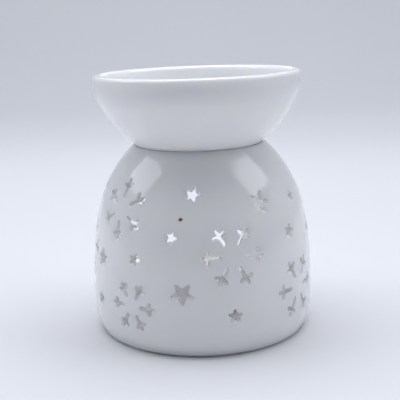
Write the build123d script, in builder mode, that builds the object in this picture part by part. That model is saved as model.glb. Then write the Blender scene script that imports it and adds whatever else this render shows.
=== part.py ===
"""A glazed ceramic tealight holder with a lift-off melt dish and a tealight inside.

Frame: +Z up, origin at the centre of the foot ring where the holder stands. The doorway for the
tealight faces +Y, so the decorated front faces -Y. Lengths are in millimetres, angles in degrees.
"""

from build123d import *

import os
from math import asin, atan2, cos, degrees, hypot, radians, sin

# ---- holder body ----
body_radius = 42.5  # outside, where the wall is straight
wall = 3.2
cavity_radius = body_radius - wall
foot_radius = 39.7
foot_curve_top = 9.5  # the wall curves in below this height
foot_edge_round = 0.9
waist_height = 20.0  # top of the straight wall
waist_arc_radius = 121.5  # slow curve above it
shoulder_height = 45.0  # the tighter shoulder curve starts here
shoulder_arc_radius = 49.8
outline_top = 74.0  # the shoulder runs on past the mouth, and the dish seat trims it
floor_top = 8.0  # level with the doorway's sill
floor_thickness = 4.5
foot_ring_inner_radius = 35.5
foot_ring_inner_round = 0.6
cavity_corner = 2.5
mouth_edge_round = 0.7
door_half_width = 24.0
door_spring_height = 33.0  # the arched head starts here
door_edge_round = 0.8

# ---- melt dish ----
bowl_radius = 40.05  # the underside is part of a ball
bowl_centre_height = 103.1
bowl_top_height = 84.5  # the underside leaves the ball here and flares to the rim band
dish_foot_height = 64.3
dish_floor_thickness = 3.6
dish_wall = 3.4
crease_radius = 38.95  # lower edge of the rim band
crease_height = 90.4
dish_rim_radius = 39.25
dish_top = 97.9
lip_round = 1.35
crease_round = 9.0
flare_round = 9.0
well_corner = 6.0
dish_foot_round = 1.2

# ---- how the dish sits in the mouth ----
seat_gap = 0.2
dish_lean = 0.7
dish_lean_bearing = -10.5  # the side that sits high is a quarter turn on from this one
lean_pivot_height = 48.0

# ---- snowflake and star cut-outs ----
stroke = 1.35
arm_inner = 4.2
arm_outer = 11.4
arm_fork = 8.4  # where the two barbs leave an arm
barb_length = 2.0
barb_angle = 73.0  # between a barb and its arm
star_waist = 0.5  # inner radius of a star as a share of its outer radius
star_corner_round = 0.3
cut_reach = 7.5  # each way from the outer surface

# Bearing round the body from the front, height, size, turn.
snowflakes = [
    (4.5, 36.7, 1.0, 0.0),
    (-59.3, 51.4, 1.0, 30.0),
    (-47.8, 17.4, 0.84, 0.0),
    (45.4, 20.5, 1.04, 0.0),
    (84.0, 49.0, 0.94, 30.0),
    (110.0, 22.0, 1.0, 0.0),
    (-95.0, 34.0, 1.0, 0.0),
    (-119.0, 52.0, 0.8, 30.0),
]
# Bearing round the body from the front, height, radius, turn.
stars = [
    (-15.6, 58.3, 2.7, 0.0),
    (-26.5, 43.6, 2.4, 0.0),
    (-45.8, 34.8, 2.3, 0.0),
    (23.5, 54.1, 4.1, 0.0),
    (50.9, 53.2, 2.0, 20.0),
    (40.6, 41.9, 2.8, 0.0),
    (66.5, 39.4, 2.9, 30.0),
    (-20.6, 24.1, 4.2, -90.0),
    (4.6, 15.5, 2.6, 90.0),
    (-71.8, 31.7, 3.6, 90.0),
    (-74.5, 15.8, 2.6, 18.0),
    (77.0, 22.5, 2.4, 60.0),
    (80.0, 64.0, 2.0, 0.0),
    (104.0, 41.0, 2.6, 40.0),
    (114.0, 56.5, 3.4, 90.0),
    (129.0, 43.0, 2.3, 10.0),
    (92.0, 12.5, 2.6, 90.0),
    (-93.0, 57.0, 3.4, 75.0),
    (-96.0, 14.5, 3.6, -90.0),
    (-118.0, 33.0, 2.6, 25.0),
    (-121.0, 17.0, 2.9, 55.0),
]

# ---- tealight ----
cup_radius = 19.0
cup_height = 15.0
cup_metal = 0.3
cup_corner = 1.5
cup_rim_radius = 19.5
cup_rim_depth = 0.6
cup_rest_gap = 0.15  # between the cup and the floor that it slides on
wax_height = 12.5
tab_radius = 6.5
tab_thickness = 0.3
tab_neck_radius = 1.3
tab_neck_height = 4.0
wick_radius = 0.75
wick_height = 20.5


def slope_after(slope, rise, radius):
    """Slope from the vertical after an arc of this radius has climbed by rise."""
    return degrees(asin(sin(radians(slope)) + rise / radius))


def inward_after(start_slope, end_slope, radius):
    """How far an arc moves in towards the axis between two slopes."""
    return radius * (cos(radians(start_slope)) - cos(radians(end_slope)))


def outline_at(height):
    """Radius and slope of the body's outside, from the straight wall up to the mouth."""
    if height <= waist_height:
        return body_radius, 0.0
    waist_top = min(height, shoulder_height)
    waist_slope = slope_after(0.0, waist_top - waist_height, waist_arc_radius)
    radius = body_radius - inward_after(0.0, waist_slope, waist_arc_radius)
    if height <= shoulder_height:
        return radius, waist_slope
    slope = slope_after(waist_slope, height - shoulder_height, shoulder_arc_radius)
    return radius - inward_after(waist_slope, slope, shoulder_arc_radius), slope


def wall_point(height, inset):
    """Point of the wall's section on the outside at this height, or square in from it by inset."""
    radius, slope = outline_at(height)
    return radius - inset * cos(radians(slope)), height - inset * sin(radians(slope))


def surface_plane(bearing, height):
    """Plane on the body's outside at a bearing from the front: X level, Y up the wall, Z out."""
    radius, slope = outline_at(height)
    turn = radians(bearing)
    tilt = radians(slope)
    origin = (radius * sin(turn), -radius * cos(turn), height)
    outward = (sin(turn) * cos(tilt), -cos(turn) * cos(tilt), sin(tilt))
    return Plane(origin=origin, x_dir=(cos(turn), sin(turn), 0), z_dir=outward)


def draw_snowflake(size, turn):
    """Six arms with two barbs each, drawn in the sketch that is open."""
    with PolarLocations((arm_inner + arm_outer) / 2 * size, 6, start_angle=turn):
        SlotOverall((arm_outer - arm_inner) * size, stroke)
    for side in (-1, 1):
        lean = side * radians(barb_angle)
        along = (arm_fork + barb_length / 2 * cos(lean)) * size
        across = barb_length / 2 * sin(lean) * size
        bearing = degrees(atan2(across, along))
        with PolarLocations(hypot(along, across), 6, start_angle=turn + bearing):
            SlotOverall(barb_length * size + stroke, stroke, rotation=side * barb_angle - bearing)


def draw_star(radius, turn):
    """A five-pointed star with its corners eased, drawn in the sketch that is open."""
    corners = []
    for k in range(10):
        reach = radius if k % 2 == 0 else radius * star_waist
        angle = radians(turn + 36 * k)
        corners.append((reach * cos(angle), reach * sin(angle)))
    star = Polygon(*corners, align=None)
    fillet(star.vertices(), star_corner_round)


def on_bowl(height, inset):
    """Bearing in the section, from the level, of a point on the dish's ball moved in by inset."""
    return degrees(asin((height - bowl_centre_height) / (bowl_radius - inset)))


# The dish leans a little in its round seat. Its level plane has X towards the high side.
high_side = Vector(1, 0, 0).rotate(Axis.Z, dish_lean_bearing)
dish_up = Vector(0, 0, 1) * cos(radians(dish_lean)) - high_side * sin(radians(dish_lean))
dish_across = high_side * cos(radians(dish_lean)) + Vector(0, 0, 1) * sin(radians(dish_lean))
dish_origin = Vector(0, 0, lean_pivot_height) - dish_up * lean_pivot_height
dish_section = Plane(origin=dish_origin, x_dir=dish_across, z_dir=dish_across.cross(dish_up))
dish_axis = Axis(dish_origin, dish_up)
bowl_centre = dish_origin + dish_up * bowl_centre_height

# ---- holder body: one shell with a floor, a mouth, a doorway and cut-outs ----
with BuildPart() as holder_body:
    with BuildSketch(Plane.XZ):
        with BuildLine():
            TangentArc((body_radius, foot_curve_top), (foot_radius, 0), tangent=(0, -1))
            Line((body_radius, foot_curve_top), wall_point(waist_height, 0))
            waist = TangentArc(wall_point(waist_height, 0), wall_point(shoulder_height, 0), tangent=(0, 1))
            TangentArc(wall_point(shoulder_height, 0), wall_point(outline_top, 0), tangent=waist % 1)
            Polyline(wall_point(outline_top, 0), (0, outline_top), (0, 0), (foot_radius, 0))
        make_face()
    revolve(axis=Axis.Z)
    fillet(holder_body.edges().group_by(Axis.Z)[0], foot_edge_round)

    # The cavity keeps the wall even, and opens upwards through the mouth.
    with BuildSketch(Plane.XZ):
        with BuildLine():
            inner_top = wall_point(outline_top, wall)
            waist_start = wall_point(waist_height, wall)
            shoulder_start = wall_point(shoulder_height, wall)
            Line((cavity_radius, floor_top), waist_start)
            waist_in = TangentArc(waist_start, shoulder_start, tangent=(0, 1))
            TangentArc(shoulder_start, inner_top, tangent=waist_in % 1)
            Line(inner_top, (inner_top[0], outline_top))
            Line((inner_top[0], outline_top), (0, outline_top))
            Polyline((0, outline_top), (0, floor_top), (cavity_radius, floor_top))
        make_face()
        fillet(vertices().sort_by_distance((cavity_radius, floor_top))[0], cavity_corner)
    revolve(axis=Axis.Z, mode=Mode.SUBTRACT)

    # The foot is a ring, with the floor raised above it.
    with BuildSketch():
        Circle(foot_ring_inner_radius)
    extrude(amount=floor_top - floor_thickness, mode=Mode.SUBTRACT)
    fillet(holder_body.edges().group_by(Axis.Z)[0].sort_by(SortBy.LENGTH)[0], foot_ring_inner_round)

    # The mouth is trimmed to the ball of the dish's underside.
    with Locations(bowl_centre):
        Sphere(bowl_radius + seat_gap, mode=Mode.SUBTRACT)
    seat = holder_body.faces().filter_by(GeomType.SPHERE)[0]
    fillet(seat.edges().sort_by(SortBy.LENGTH)[-1], mouth_edge_round)

    # The arched doorway.
    with BuildSketch(Plane.XZ.offset(-body_radius)):
        with BuildLine():
            Line((-door_half_width, floor_top), (door_half_width, floor_top))
            Line((door_half_width, floor_top), (door_half_width, door_spring_height))
            ThreePointArc(
                (door_half_width, door_spring_height),
                (0, door_spring_height + door_half_width),
                (-door_half_width, door_spring_height),
            )
            Line((-door_half_width, door_spring_height), (-door_half_width, floor_top))
        make_face()
    extrude(amount=body_radius / 2, mode=Mode.SUBTRACT)

    # The cut-outs go square through the wall.
    for bearing, height, size, turn in snowflakes:
        with BuildSketch(surface_plane(bearing, height)):
            draw_snowflake(size, turn)
        extrude(amount=cut_reach, both=True, mode=Mode.SUBTRACT)
    for bearing, height, radius, turn in stars:
        with BuildSketch(surface_plane(bearing, height)):
            draw_star(radius, turn)
        extrude(amount=cut_reach, both=True, mode=Mode.SUBTRACT)

# ---- melt dish: a ball-bottomed bowl with an upright rim band ----
with BuildPart() as melt_dish:
    with BuildSketch(dish_section):
        with BuildLine():
            well_floor = dish_foot_height + dish_floor_thickness
            foot_at = on_bowl(dish_foot_height, 0)
            flare_at = on_bowl(bowl_top_height, 0)
            well_floor_at = on_bowl(well_floor, dish_wall)
            well_top_at = on_bowl(dish_top, dish_wall)
            centre = (0, bowl_centre_height)
            underside = CenterArc(centre, bowl_radius, foot_at, flare_at - foot_at)
            well = CenterArc(centre, bowl_radius - dish_wall, well_floor_at, well_top_at - well_floor_at)
            Polyline(underside @ 1, (crease_radius, crease_height), (dish_rim_radius, dish_top), well @ 1)
            Polyline(well @ 0, (0, well_floor), (0, dish_foot_height), underside @ 0)
        make_face()
        fillet(vertices().sort_by_distance((crease_radius, crease_height))[0], crease_round)
        fillet(vertices().sort_by_distance(underside @ 1)[0], flare_round)
        fillet(vertices().sort_by_distance((dish_rim_radius, dish_top))[0], lip_round)
        fillet(vertices().sort_by_distance(well @ 1)[0], lip_round)
        fillet(vertices().sort_by_distance(well @ 0)[0], well_corner)
        fillet(vertices().sort_by_distance(underside @ 0)[0], dish_foot_round)
    revolve(axis=dish_axis)

# ---- tealight: pressed cup, wax, wick tab and wick ----
cup_base = floor_top + cup_rest_gap
cup_floor = cup_base + cup_metal
cup_inner_radius = cup_radius - cup_metal
tab_top = cup_floor + tab_thickness

with BuildPart() as tealight_cup:
    with BuildSketch(Plane.XZ):
        with BuildLine():
            cup_top = cup_base + cup_height
            Polyline((0, cup_base), (cup_radius, cup_base), (cup_radius, cup_top - cup_rim_depth))
            Line((cup_radius, cup_top - cup_rim_depth), (cup_rim_radius, cup_top - cup_rim_depth))
            Line((cup_rim_radius, cup_top - cup_rim_depth), (cup_rim_radius, cup_top))
            Polyline((cup_rim_radius, cup_top), (cup_inner_radius, cup_top), (cup_inner_radius, cup_floor))
            Polyline((cup_inner_radius, cup_floor), (0, cup_floor), (0, cup_base))
        make_face()
        fillet(vertices().sort_by_distance((cup_radius, cup_base))[0], cup_corner)
        fillet(vertices().sort_by_distance((cup_inner_radius, cup_floor))[0], cup_corner - cup_metal)
    revolve(axis=Axis.Z)

with BuildPart() as wick_tab:
    with BuildSketch(Plane.XY.offset(cup_floor)):
        Circle(tab_radius)
    extrude(amount=tab_thickness)
    with BuildSketch(Plane.XY.offset(tab_top)):
        Circle(tab_neck_radius)
        Circle(wick_radius, mode=Mode.SUBTRACT)
    extrude(amount=tab_neck_height)

with BuildPart() as wick:
    with BuildSketch(Plane.XY.offset(tab_top)):
        Circle(wick_radius)
    extrude(amount=wick_height - tab_top + cup_base)

# The wax fills the cup round the tab and the wick.
with BuildPart() as tealight_wax:
    with BuildSketch(Plane.XY.offset(cup_floor)):
        Circle(cup_inner_radius)
    extrude(amount=wax_height)
    fillet(tealight_wax.edges().group_by(Axis.Z)[0], cup_corner - cup_metal)
    with BuildSketch(Plane.XY.offset(cup_floor)):
        Circle(tab_radius)
    extrude(amount=tab_thickness, mode=Mode.SUBTRACT)
    with BuildSketch(Plane.XY.offset(tab_top)):
        Circle(tab_neck_radius)
    extrude(amount=tab_neck_height, mode=Mode.SUBTRACT)
    with BuildSketch(Plane.XY.offset(tab_top)):
        Circle(wick_radius)
    extrude(amount=wax_height, mode=Mode.SUBTRACT)

# ---- export ----
os.makedirs("parts", exist_ok=True)
pieces = {
    "holder_body": holder_body,
    "melt_dish": melt_dish,
    "tealight_cup": tealight_cup,
    "tealight_wax": tealight_wax,
    "wick_tab": wick_tab,
    "wick": wick,
}
for name, piece in pieces.items():
    piece.part.label = name
    export_step(piece.part, f"parts/{name}.step")
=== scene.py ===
"""Looks of a glazed ceramic tealight holder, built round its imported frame.

Lengths inside the classes are millimetres in the frame's own axes, and MM turns them into metres when a
mesh is made. Bearings go round the body from the decorated front, which faces -Y, towards +X.
"""

import logging
from dataclasses import dataclass, field
from enum import Enum
from functools import lru_cache
from math import asin, cos, degrees, hypot, pi, radians, sin, tau
from typing import Callable

import bpy
import numpy as np
from mathutils import Matrix, Vector
from mathutils.geometry import delaunay_2d_cdt


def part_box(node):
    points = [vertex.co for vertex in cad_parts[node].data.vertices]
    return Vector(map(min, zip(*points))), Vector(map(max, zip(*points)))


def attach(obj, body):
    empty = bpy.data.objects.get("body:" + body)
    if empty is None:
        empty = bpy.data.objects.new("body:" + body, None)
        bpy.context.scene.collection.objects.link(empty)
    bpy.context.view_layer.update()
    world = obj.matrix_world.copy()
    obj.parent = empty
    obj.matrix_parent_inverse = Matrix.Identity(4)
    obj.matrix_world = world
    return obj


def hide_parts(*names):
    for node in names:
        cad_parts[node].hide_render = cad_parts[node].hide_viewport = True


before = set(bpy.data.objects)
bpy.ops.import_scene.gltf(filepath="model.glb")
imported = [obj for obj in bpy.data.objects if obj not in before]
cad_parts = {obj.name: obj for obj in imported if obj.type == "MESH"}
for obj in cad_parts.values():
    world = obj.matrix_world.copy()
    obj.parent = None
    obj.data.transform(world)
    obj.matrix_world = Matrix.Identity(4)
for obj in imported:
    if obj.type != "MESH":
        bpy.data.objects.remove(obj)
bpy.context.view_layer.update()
MM = 0.001
Array = np.ndarray
Point = tuple[float, float]
Place = tuple[float, float, float]
Colour = tuple[float, float, float, float]
Socket = bpy.types.NodeSocket
log = logging.getLogger("tealight_holder")


# ---------------------------------------------------------------- curves and outlines


def unit(vectors: Array) -> Array:
    """Vectors scaled to length 1."""
    return vectors / np.maximum(np.linalg.norm(vectors, axis=-1, keepdims=True), 1e-12)


def arc(centre: Point, radius: float, start: float, end: float, step: float = 1.0) -> Array:
    """Points of a circular arc in a section.

    Args:
        centre: its centre, as radius from the axis and height.
        radius: its radius.
        start: bearing of its first point, in degrees from level.
        end: bearing of its last point.
        step: rough spacing of the points along it.

    Returns:
        The points, one to a row.
    """
    count = max(3, int(abs(radians(end - start)) * radius / step) + 2)
    turn = np.radians(np.linspace(start, end, count))
    return np.stack([centre[0] + radius * np.cos(turn), centre[1] + radius * np.sin(turn)], axis=1)


def straight(start: Point, end: Point, step: float = 1.0) -> Array:
    """Evenly spaced points from start to end, about a step apart."""
    count = max(2, int(hypot(end[0] - start[0], end[1] - start[1]) / step) + 2)
    return np.linspace(start, end, count)


def chain(corners: list[Point], steps: list[float]) -> list[Array]:
    """Straight runs from corner to corner, each with its own step."""
    return [straight(*run) for run in zip(corners, corners[1:], steps)]


def lengths_along(points: Array) -> Array:
    """Distance of each point along the line through them."""
    return np.concatenate([[0.0], np.cumsum(np.linalg.norm(np.diff(points, axis=0), axis=1))])


def bend(first: Array, corner: Array, last: Array, steps: int) -> Array:
    """Rounds a corner: a curve that leaves first towards the corner and arrives at last from it.

    Args:
        first: where the curve starts, a point or one point to a row.
        corner: the sharp corner that it replaces.
        last: where it ends.
        steps: how many spans it has.

    Returns:
        Its points, with one leading axis for the steps + 1 places along it.
    """
    t = np.linspace(0.0, 1.0, steps + 1).reshape((-1,) + (1,) * np.ndim(first))
    return (1 - t) ** 2 * first + 2 * t * (1 - t) * corner + t**2 * last


NEAREST = 0.05  # closest that two points of a run may stand


def soft_section(runs: list[Array], trims: tuple[float, ...], steps: int = 6) -> Array:
    """Joins runs end to end and rounds the corners between them.

    Args:
        runs: rows of points, each starting where the one before ends.
        trims: how far from each corner its rounding starts.
        steps: spans in each rounding.

    Returns:
        The points of the whole section.
    """
    parts = []
    for k, run in enumerate(runs):
        along = lengths_along(run)
        low = trims[k - 1] if k else 0.0
        high = along[-1] - (trims[k] if k < len(trims) else 0.0)
        inside = along[(along > low + NEAREST) & (along < high - NEAREST)]
        wanted = np.concatenate([[low], inside, [high]])
        parts.append(np.stack([np.interp(wanted, along, run[:, c]) for c in (0, 1)], axis=1))
        if k < len(trims):
            after = runs[k + 1]
            ahead = lengths_along(after)
            landing = np.array([np.interp(trims[k], ahead, after[:, c]) for c in (0, 1)])
            parts.append(bend(parts[-1][-1], run[-1], landing, steps)[1:-1])
    return np.concatenate(parts)


def section_normals(points: Array) -> Array:
    """Normals to the right of a section's direction of travel.

    Args:
        points: the section's points in order.

    Returns:
        One normal for each point, true where three neighbours lie on a circle.
    """
    step = np.diff(points, axis=0)
    size = np.linalg.norm(step, axis=1, keepdims=True)
    heading = step / size
    middle = unit(heading[:-1] * size[1:] + heading[1:] * size[:-1])
    tangent = np.concatenate([heading[:1], middle, heading[-1:]])
    return np.stack([tangent[:, 1], -tangent[:, 0]], axis=1)


@dataclass(frozen=True)
class Stroke:
    """A round-ended stroke, wider or narrower at its far end."""

    start: Point
    end: Point
    start_radius: float
    end_radius: float

    def gap(self, points: Array) -> Array:
        """Distance of each point outside the stroke, negative inside.

        Args:
            points: one to a row.

        Returns:
            One distance for each.
        """
        a = np.array(self.start)
        ab = np.array(self.end) - a
        share = np.clip((points - a) @ ab / (ab @ ab), 0.0, 1.0)
        radius = self.start_radius + share * (self.end_radius - self.start_radius)
        return np.linalg.norm(points - a - share[:, None] * ab, axis=1) - radius


@dataclass(frozen=True)
class StrokeShape:
    """Strokes that flow into each other, as glaze leaves them."""

    strokes: tuple[Stroke, ...]
    blend: float
    tip: Point

    def gap(self, points: Array) -> Array:
        """Distance of each point outside the shape, negative inside.

        Args:
            points: one to a row.

        Returns:
            One distance for each.
        """
        total = self.strokes[0].gap(points)
        for stroke in self.strokes[1:]:
            other = stroke.gap(points)
            near = np.maximum(self.blend - np.abs(total - other), 0.0) / self.blend
            total = np.minimum(total, other) - near**2 * self.blend / 4
        return total


@dataclass(frozen=True)
class ArchShape:
    """An arched doorway in the plane of its X and height."""

    half_width: float
    sill: float
    spring: float
    corner: float

    @property
    def tip(self) -> Point:
        """A point on its outline."""
        return (0.0, self.spring + self.half_width)

    def gap(self, points: Array) -> Array:
        """Distance of each point outside the arch, negative inside.

        Args:
            points: one to a row.

        Returns:
            One distance for each.
        """
        x, z = points[:, 0], points[:, 1]
        head = np.hypot(x, z - self.spring) - self.half_width
        side = np.abs(x) - self.half_width + self.corner
        below = self.sill - z + self.corner
        outside = np.hypot(np.maximum(side, 0), np.maximum(below, 0))
        foot = outside + np.minimum(np.maximum(side, below), 0) - self.corner
        return np.where(z > self.spring, head, foot)


Shape = StrokeShape | ArchShape


def gap_slope(shape: Shape, points: Array) -> Array:
    """Direction and rate in which the gap to a shape grows.

    Args:
        shape: the shape.
        points: one to a row.

    Returns:
        One vector for each point.
    """
    e = 1e-3
    dx = shape.gap(points + [e, 0]) - shape.gap(points - [e, 0])
    dy = shape.gap(points + [0, e]) - shape.gap(points - [0, e])
    return np.stack([dx, dy], axis=1) / (2 * e)


def settle(shape: Shape, points: Array, level: float, steps: int = 4) -> Array:
    """Moves points square to a shape's outline until their gap is level.

    Args:
        shape: the shape.
        points: one to a row.
        level: the gap that they end with.
        steps: how often each is moved closer.

    Returns:
        The moved points.
    """
    for _ in range(steps):
        slope = gap_slope(shape, points)
        size = np.maximum((slope**2).sum(axis=1), 0.05)
        points = points - ((shape.gap(points) - level) / size)[:, None] * slope
    return points


@lru_cache(maxsize=None)
def outline(shape: Shape, spacing: float) -> Array:
    """Evenly spaced points round a shape's outline.

    Args:
        shape: the shape to go round.
        spacing: rough distance between the points.

    Returns:
        The points in order, without repeating the first.
    """
    stride, fewest = min(0.12, spacing / 2), 12
    here = settle(shape, np.array([shape.tip]), 0.0)
    path = [here[0]]
    while len(path) < fewest or np.linalg.norm(path[-1] - path[0]) > stride * 1.01:
        slope = unit(gap_slope(shape, here))
        here = settle(shape, here + stride * slope[:, ::-1] * [-1, 1], 0.0, 2)
        path.append(here[0])
    closed = np.array(path + [path[0]])
    along = lengths_along(closed)
    count = max(fewest, round(along[-1] / spacing))
    wanted = np.linspace(0, along[-1], count, endpoint=False)
    even = np.stack([np.interp(wanted, along, closed[:, c]) for c in (0, 1)], axis=1)
    return settle(shape, even, 0.0)


def relax(ring: Array) -> Array:
    """Moves each point of a closed row a little towards its neighbours, so that none bunch up."""
    kept = 0.6
    return ring * kept + (np.roll(ring, 1, axis=0) + np.roll(ring, -1, axis=0)) * (1 - kept) / 2


# ---------------------------------------------------------------- meshes


@dataclass
class Skin:
    """A mesh in the making: points with their normals, and faces between them."""

    points: list[Array] = field(default_factory=list)
    normals: list[Array] = field(default_factory=list)
    edge: list[Array] = field(default_factory=list)
    faces: list[tuple[int, ...]] = field(default_factory=list)
    count: int = 0

    def add(self, points: Array, normals: Array, edge: float = 0.0) -> Array:
        """Adds points.

        Args:
            points: one to a row.
            normals: the surface's normal at each.
            edge: 1 on the crest of a rounded edge, 0 away from it.

        Returns:
            The new points' numbers.
        """
        self.points.append(np.asarray(points, float))
        self.normals.append(unit(np.asarray(normals, float)))
        self.edge.append(np.full(len(points), edge))
        self.count += len(points)
        return np.arange(self.count - len(points), self.count)

    def strip(self, row: Array, other: Array) -> None:
        """Faces between two closed rows of equal length."""
        self.faces.extend(zip(row, np.roll(row, -1), np.roll(other, -1), other))

    def fan(self, row: Array, place: "Turning", height: float, way: float) -> None:
        """Closes a ring to a point of its axis, facing up the axis for 1 and down it for -1."""
        middle = self.add([place.axis_at(height)], [np.array(place.up) * way])[0]
        self.faces.extend((a, b, middle) for a, b in zip(row, np.roll(row, -1)))

    def lathe(self, section: Array, normals: Array, place: "Turning", first: Array | None = None,
              edge: Array | None = None) -> Array:
        """Sweeps a section round an axis.

        Args:
            section: points as radius and height.
            normals: the section's normals.
            place: the axis, and the bearings of the columns.
            first: an existing ring that stands in for the section's first point.
            edge: how much of a rounded edge each point is.

        Returns:
            The last ring's point numbers.
        """
        ring = first
        for k in range(0 if first is None else 1, len(section)):
            points, outward = place.ring(section[k], normals[k])
            new = self.add(points, outward, 0.0 if edge is None else edge[k])
            if ring is not None:
                self.strip(ring, new)
            ring = new
        return ring

    def solid(self, section: Array, place: "Turning", first: Point = (0.0, -1.0),
              edge: Array | None = None) -> None:
        """Turns a section into a closed solid.

        Args:
            section: points as radius and height, from the underside round to the top.
            place: the axis, and the bearings of the columns.
            first: the section's normal at its first point.
            edge: how much of a rounded edge each point is.
        """
        bottom = self.add(*place.ring(section[0], np.array(first)))
        last = self.lathe(section, section_normals(section), place, bottom, edge)
        self.fan(bottom, place, section[0][1], -1.0)
        self.fan(last, place, section[-1][1], 1.0)

    def mesh(self, name: str, exact: bool = True) -> bpy.types.Mesh:
        """Makes the mesh, in metres, its faces turned to agree with its normals.

        Args:
            name: the mesh's name.
            exact: True keeps the worked-out normals for shading.

        Returns:
            The mesh.
        """
        points = np.concatenate(self.points)
        normals = np.concatenate(self.normals)
        faces = []
        for face in self.faces:
            corners = points[list(face)]
            turn = np.cross(corners[1] - corners[0], corners[-1] - corners[0])
            if len(face) == 4:
                turn = np.cross(corners[2] - corners[0], corners[3] - corners[1])
            agrees = turn @ normals[list(face)].sum(axis=0) >= 0
            faces.append([int(i) for i in (face if agrees else face[::-1])])
        mesh = bpy.data.meshes.new(name)
        mesh.from_pydata((points * MM).tolist(), [], faces)
        mesh.shade_smooth()
        edge = mesh.attributes.new("glaze_edge", "FLOAT", "POINT")
        edge.data.foreach_set("value", np.concatenate(self.edge).astype(np.float32))
        if exact:
            mesh.normals_split_custom_set_from_vertices(normals.tolist())
        return mesh


@dataclass(frozen=True)
class Turning:
    """An axis to turn a section round, and how many columns it gets."""

    columns: int
    start: float = 0.0
    origin: Place = (0.0, 0.0, 0.0)
    across: Place = (1.0, 0.0, 0.0)
    up: Place = (0.0, 0.0, 1.0)

    @property
    def bearings(self) -> Array:
        """Bearing of each column, in degrees."""
        return self.start + np.arange(self.columns) * 360 / self.columns

    def axis_at(self, height: float) -> Array:
        """The point of the axis at this height."""
        return np.array(self.origin) + np.array(self.up) * height

    def ring(self, point: Array, normal: Array) -> tuple[Array, Array]:
        """One point of a section swept round.

        Args:
            point: its radius and height.
            normal: its normal in the section.

        Returns:
            The ring's points and their normals.
        """
        turn = np.radians(self.bearings)
        across, up = np.array(self.across), np.array(self.up)
        out = np.sin(turn)[:, None] * across - np.cos(turn)[:, None] * np.cross(up, across)
        return np.array(self.origin) + point[0] * out + point[1] * up, normal[0] * out + normal[1] * up


@dataclass(frozen=True)
class Meridian:
    """One face of the wall: a section sampled closely, swept round the axis."""

    section: Array
    facing: int

    def __post_init__(self) -> None:
        """Works out the distance along the section and its normals."""
        object.__setattr__(self, "along", lengths_along(self.section))
        object.__setattr__(self, "normals", section_normals(self.section) * self.facing)

    def place(self, bearing: Array, along: Array) -> tuple[Array, Array]:
        """Points of the wall and their normals.

        Args:
            bearing: degrees round the body from the front.
            along: distance up the section.

        Returns:
            The points, and the outward normals there.
        """
        turn = np.radians(bearing)
        radius, height = (np.interp(along, self.along, self.section[:, c]) for c in (0, 1))
        level, rise = (np.interp(along, self.along, self.normals[:, c]) for c in (0, 1))
        out = np.stack([np.sin(turn), -np.cos(turn), np.zeros_like(turn)], axis=1)
        up = np.array([[0.0, 0.0, 1.0]])
        return radius[:, None] * out + height[:, None] * up, level[:, None] * out + rise[:, None] * up

    def struck(self, origin: Array, direction: Array, reach: float, seam: float) -> tuple[Array, Array]:
        """Where straight lines meet the wall.

        Args:
            origin: a point on each line.
            direction: the lines' shared direction.
            reach: roughly how far along the direction the wall is.
            seam: the bearing where the wall's bearings start.

        Returns:
            Bearings and distances up the section of the meeting points.
        """

        def miss(at: Array) -> Array:
            """How far outside the wall the lines are.

            Args:
                at: how far along the direction to look, one for each line.

            Returns:
                One distance for each.
            """
            points = origin + at[:, None] * direction
            wall = np.interp(points[:, 2], self.section[:, 1], self.section[:, 0])
            return np.hypot(points[:, 0], points[:, 1]) - wall

        at = np.full(len(origin), reach)
        nudge, least_rate, tries = 0.01, 0.1, 14
        for _ in range(tries):
            error = miss(at)
            rate = (miss(at + nudge) - error) / nudge
            at -= error / np.where(np.abs(rate) < least_rate, least_rate, rate)
        points = origin + at[:, None] * direction
        bearing = np.degrees(np.arctan2(points[:, 0], -points[:, 1]))
        return (bearing - seam) % 360 + seam, np.interp(points[:, 2], self.section[:, 1], self.along)


@dataclass(frozen=True)
class Row:
    """A closed row of points on the wall: their numbers, bearings and distances up the section."""

    numbers: Array
    bearing: Array
    along: Array


@dataclass(frozen=True)
class Edge:
    """How a cut-out's edges are rounded outside and inside, and the spacing of its points."""

    outer: float
    inner: float
    spacing: float


@dataclass(frozen=True)
class Cut:
    """A cut-out: its shape, and the plane that it is drawn in and cut square to."""

    shape: Shape
    origin: Array
    across: Array
    up: Array
    depth: float
    edge: Edge

    @property
    def out(self) -> Array:
        """The direction square to the plane, away from the body."""
        return np.cross(self.across, self.up)

    def spread(self, flat: Array) -> Array:
        """Places points of the plane in space."""
        return self.origin + flat[:, :1] * self.across + flat[:, 1:] * self.up

    def covers(self, points: Array, margin: float) -> Array:
        """Which points of the wall the cut takes away, or leaves too near itself.

        Args:
            points: one to a row.
            margin: how near is too near.

        Returns:
            True for each such point.
        """
        seen = points - self.origin
        flat = np.stack([seen @ self.across, seen @ self.up], axis=1)
        return (self.shape.gap(flat) < margin) & (seen @ self.out > -self.depth)


def within(polygon: Array, points: Array) -> Array:
    """Which points a closed polygon holds.

    Args:
        polygon: its corners in order.
        points: the points to try.

    Returns:
        True for each point inside.
    """
    x, y = points[:, :1], points[:, 1:]
    ends = np.roll(polygon, -1, axis=0)
    spans = (polygon[:, 1] > y) != (ends[:, 1] > y)
    rise = np.where(ends[:, 1] == polygon[:, 1], 1e-12, ends[:, 1] - polygon[:, 1])
    reach = (ends[:, 0] - polygon[:, 0]) * (y - polygon[:, 1]) / rise + polygon[:, 0]
    return (spans & (x < reach)).sum(axis=1) % 2 == 1


FIRST_ROW = 0.8  # height of the lowest row of points above the border, in spacings
LAST_ROW = 0.6  # least distance of the highest row below the border, in spacings
WELD = 1e-7  # points of the flattened wall closer than this are one


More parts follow.
